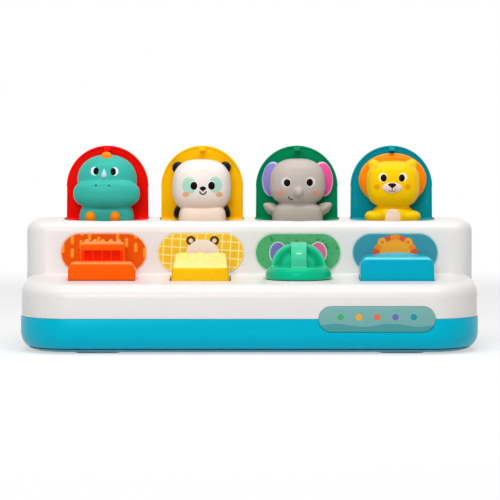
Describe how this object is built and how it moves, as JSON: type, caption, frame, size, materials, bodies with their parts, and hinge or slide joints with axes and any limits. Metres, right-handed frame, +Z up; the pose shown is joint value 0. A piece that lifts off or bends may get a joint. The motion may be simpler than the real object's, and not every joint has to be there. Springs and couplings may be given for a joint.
{
  "type": "pop up animal toy",
  "caption": "Stepped toy housing whose arched spring lids carry animal figures, each released by its own slide, push key, knob or rocker.",
  "frame": {"origin": "middle of the footprint, on the surface that the feet rest on", "axes": "+Z up, +X to the right seen from the buttons, -Y towards the child at the buttons"},
  "size_m": [0.33, 0.142, 0.1456],
  "materials": {
    "shell": "satin moulded",
    "base": "satin moulded",
    "inner": "matte moulded",
    "steel": "drawn wire and turned pins",
    "lever": "matte moulded",
    "plate": "printed film",
    "lid_1": "glossy moulded",
    "dinosaur": "glossy moulded and printed",
    "slide": "glossy moulded",
    "panel_1": "printed film",
    "lid_2": "glossy moulded",
    "panda": "glossy moulded and printed",
    "push": "glossy moulded",
    "panel_2": "printed film",
    "lid_3": "glossy moulded",
    "elephant": "glossy moulded and printed",
    "knob": "glossy moulded",
    "panel_3": "printed film",
    "lid_4": "glossy moulded",
    "lion": "glossy moulded and printed",
    "rocker": "glossy moulded",
    "panel_4": "printed film"
  },
  "bodies": {
    "housing": {"top_shell": "shell", "base_tray": "base", "front_plate": "plate", "foot_1": "base", "foot_2": "base", "foot_3": "base", "foot_4": "base", "picture_panel_1": "panel_1", "picture_panel_2": "panel_2", "picture_panel_3": "panel_3", "picture_panel_4": "panel_4", "pop_up_well_1": "inner", "pop_up_well_2": "inner", "pop_up_well_3": "inner", "pop_up_well_4": "inner", "hinge_pin_1": "steel", "hinge_pin_2": "steel", "hinge_pin_3": "steel", "hinge_pin_4": "steel", "lid_spring_1": "steel", "lid_spring_2": "steel", "lid_spring_3": "steel", "lid_spring_4": "steel", "lever_pin_1": "steel", "lever_pin_2": "steel", "lever_pin_3": "steel", "lever_pin_4": "steel", "return_spring_1": "steel", "return_spring_2": "steel", "return_spring_3": "steel", "return_spring_4": "steel", "rocker_pin": "steel", "housing_screw_1": "steel", "housing_screw_2": "steel", "housing_screw_3": "steel", "housing_screw_4": "steel", "housing_screw_5": "steel", "housing_screw_6": "steel"},
    "dinosaur_lid": {"lid_1": "lid_1", "dinosaur_figure": "dinosaur"},
    "panda_lid": {"lid_2": "lid_2", "panda_figure": "panda"},
    "elephant_lid": {"lid_3": "lid_3", "elephant_figure": "elephant"},
    "lion_lid": {"lid_4": "lid_4", "lion_figure": "lion"},
    "lever_1": {"latch_lever_1": "lever"},
    "lever_2": {"latch_lever_2": "lever"},
    "lever_3": {"latch_lever_3": "lever"},
    "lever_4": {"latch_lever_4": "lever"},
    "slide": {"slide_button": "slide", "slide_cam": "inner"},
    "push": {"push_key": "push"},
    "knob": {"turn_knob": "knob", "knob_cam": "inner", "knob_screw": "steel"},
    "rocker": {"rocker_key": "rocker"}
  },
  "joints": [
    {"name": "dinosaur_lid_hinge", "type": "hinge", "parent": "housing", "child": "dinosaur_lid", "pos_m": [-0.10635, 0.0586, 0.088], "axis": [1, 0, 0], "range_deg": [0, 90], "stiffness_Nm_per_rad": 0.015, "springref_deg": -28.65, "deforming": ["lid_spring_1"]},
    {"name": "panda_lid_hinge", "type": "hinge", "parent": "housing", "child": "panda_lid", "pos_m": [-0.03545, 0.0586, 0.088], "axis": [1, 0, 0], "range_deg": [0, 90], "stiffness_Nm_per_rad": 0.015, "springref_deg": -28.65, "deforming": ["lid_spring_2"]},
    {"name": "elephant_lid_hinge", "type": "hinge", "parent": "housing", "child": "elephant_lid", "pos_m": [0.03545, 0.0586, 0.088], "axis": [1, 0, 0], "range_deg": [0, 90], "stiffness_Nm_per_rad": 0.015, "springref_deg": -28.65, "deforming": ["lid_spring_3"]},
    {"name": "lion_lid_hinge", "type": "hinge", "parent": "housing", "child": "lion_lid", "pos_m": [0.10635, 0.0586, 0.088], "axis": [1, 0, 0], "range_deg": [0, 90], "stiffness_Nm_per_rad": 0.015, "springref_deg": -28.65, "deforming": ["lid_spring_4"]},
    {"name": "lever_1_pivot", "type": "hinge", "parent": "housing", "child": "lever_1", "pos_m": [-0.10635, 0.0012, 0.065], "axis": [1, 0, 0], "range_deg": [0, 6.5], "deforming": ["return_spring_1"]},
    {"name": "lever_2_pivot", "type": "hinge", "parent": "housing", "child": "lever_2", "pos_m": [-0.03545, 0.0012, 0.065], "axis": [1, 0, 0], "range_deg": [0, 6.5], "deforming": ["return_spring_2"]},
    {"name": "lever_3_pivot", "type": "hinge", "parent": "housing", "child": "lever_3", "pos_m": [0.03545, 0.0012, 0.065], "axis": [1, 0, 0], "range_deg": [0, 6.5], "deforming": ["return_spring_3"]},
    {"name": "lever_4_pivot", "type": "hinge", "parent": "housing", "child": "lever_4", "pos_m": [0.10635, 0.0012, 0.065], "axis": [1, 0, 0], "range_deg": [0, 6.5], "deforming": ["return_spring_4"]},
    {"name": "slide_travel", "type": "slide", "parent": "housing", "child": "slide", "axis": [1, 0, 0], "range_m": [0, 0.008], "stiffness_N_per_m": 150, "springref_m": -0.002},
    {"name": "push_travel", "type": "slide", "parent": "housing", "child": "push", "axis": [0, 0, -1], "range_m": [0, 0.004], "stiffness_N_per_m": 300, "springref_m": -0.001},
    {"name": "knob_turn", "type": "hinge", "parent": "housing", "child": "knob", "pos_m": [0.03545, -0.033, 0.0515], "axis": [0, 0, 1], "range_deg": [0, 60], "stiffness_Nm_per_rad": 0.02, "springref_deg": -5.73},
    {"name": "rocker_tilt", "type": "hinge", "parent": "housing", "child": "rocker", "pos_m": [0.10635, -0.013, 0.0472], "axis": [1, 0, 0], "range_deg": [0, 10.9], "stiffness_Nm_per_rad": 0.25, "springref_deg": -2.86}
  ],
  "couplings": [
    {"joint": "lever_1_pivot", "follows": "slide_travel", "rad_per_m": 14.181},
    {"joint": "lever_2_pivot", "follows": "push_travel", "rad_per_m": 28.36},
    {"joint": "lever_3_pivot", "follows": "knob_turn", "ratio": 0.10833},
    {"joint": "lever_4_pivot", "follows": "rocker_tilt", "ratio": 0.5963}
  ]
}
